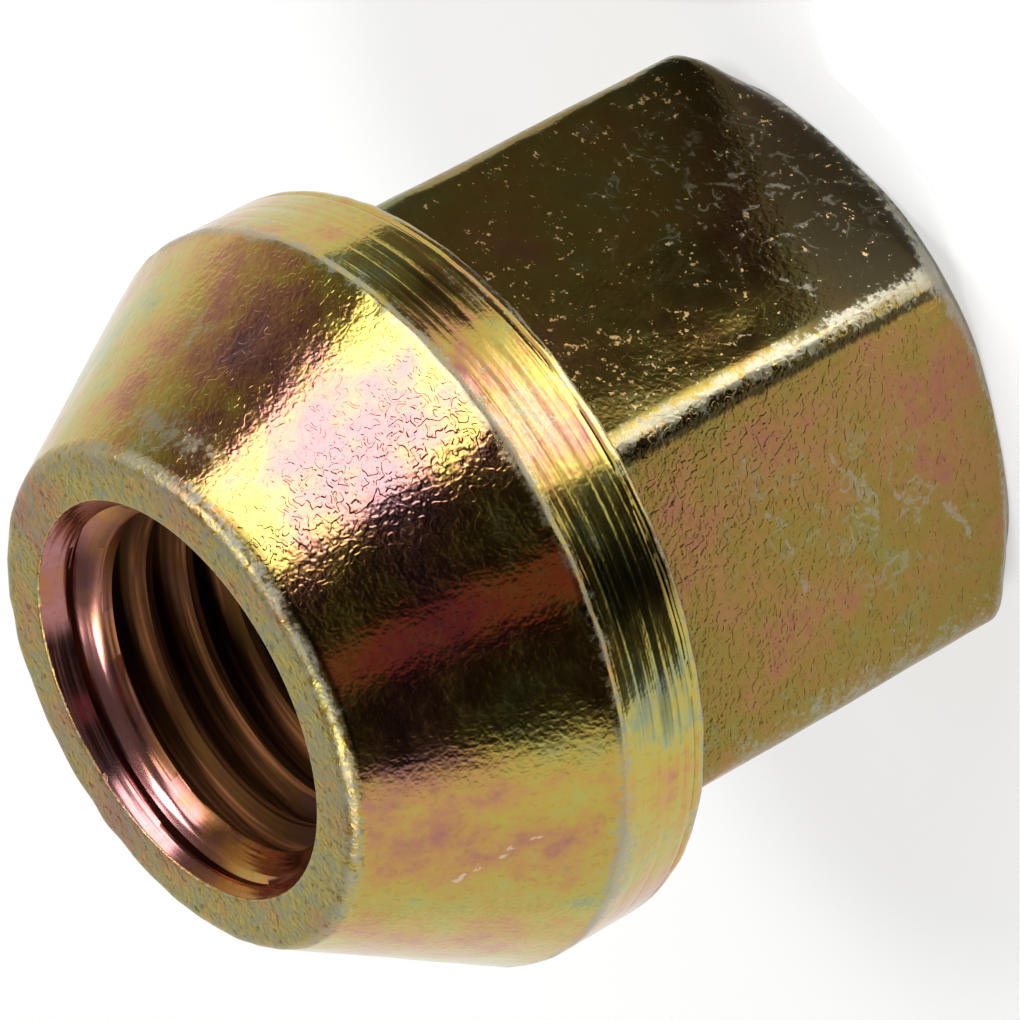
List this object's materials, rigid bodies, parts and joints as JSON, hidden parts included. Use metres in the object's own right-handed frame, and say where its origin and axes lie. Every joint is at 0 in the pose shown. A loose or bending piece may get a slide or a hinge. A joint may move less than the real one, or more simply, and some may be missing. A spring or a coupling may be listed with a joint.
{
  "type": "lug nut",
  "caption": "Open-ended lug nut: a wrench hexagon, a round collar and a conical seat on one piece, threaded through for a wheel stud.",
  "frame": {"origin": "centre of the hexagon's end face, on the axis of the bore", "axes": "+Z along the bore from the hexagon end towards the conical seat, +X square to a wrench flat"},
  "size_m": [0.0232, 0.0232, 0.0236],
  "materials": {
    "plated_steel": "yellow zinc chromate on forged and turned steel, glossy olive-gold with pink and green tints, worn to grey on its edges"
  },
  "bodies": {
    "root": {"lug_nut": "plated_steel"}
  },
  "joints": []
}
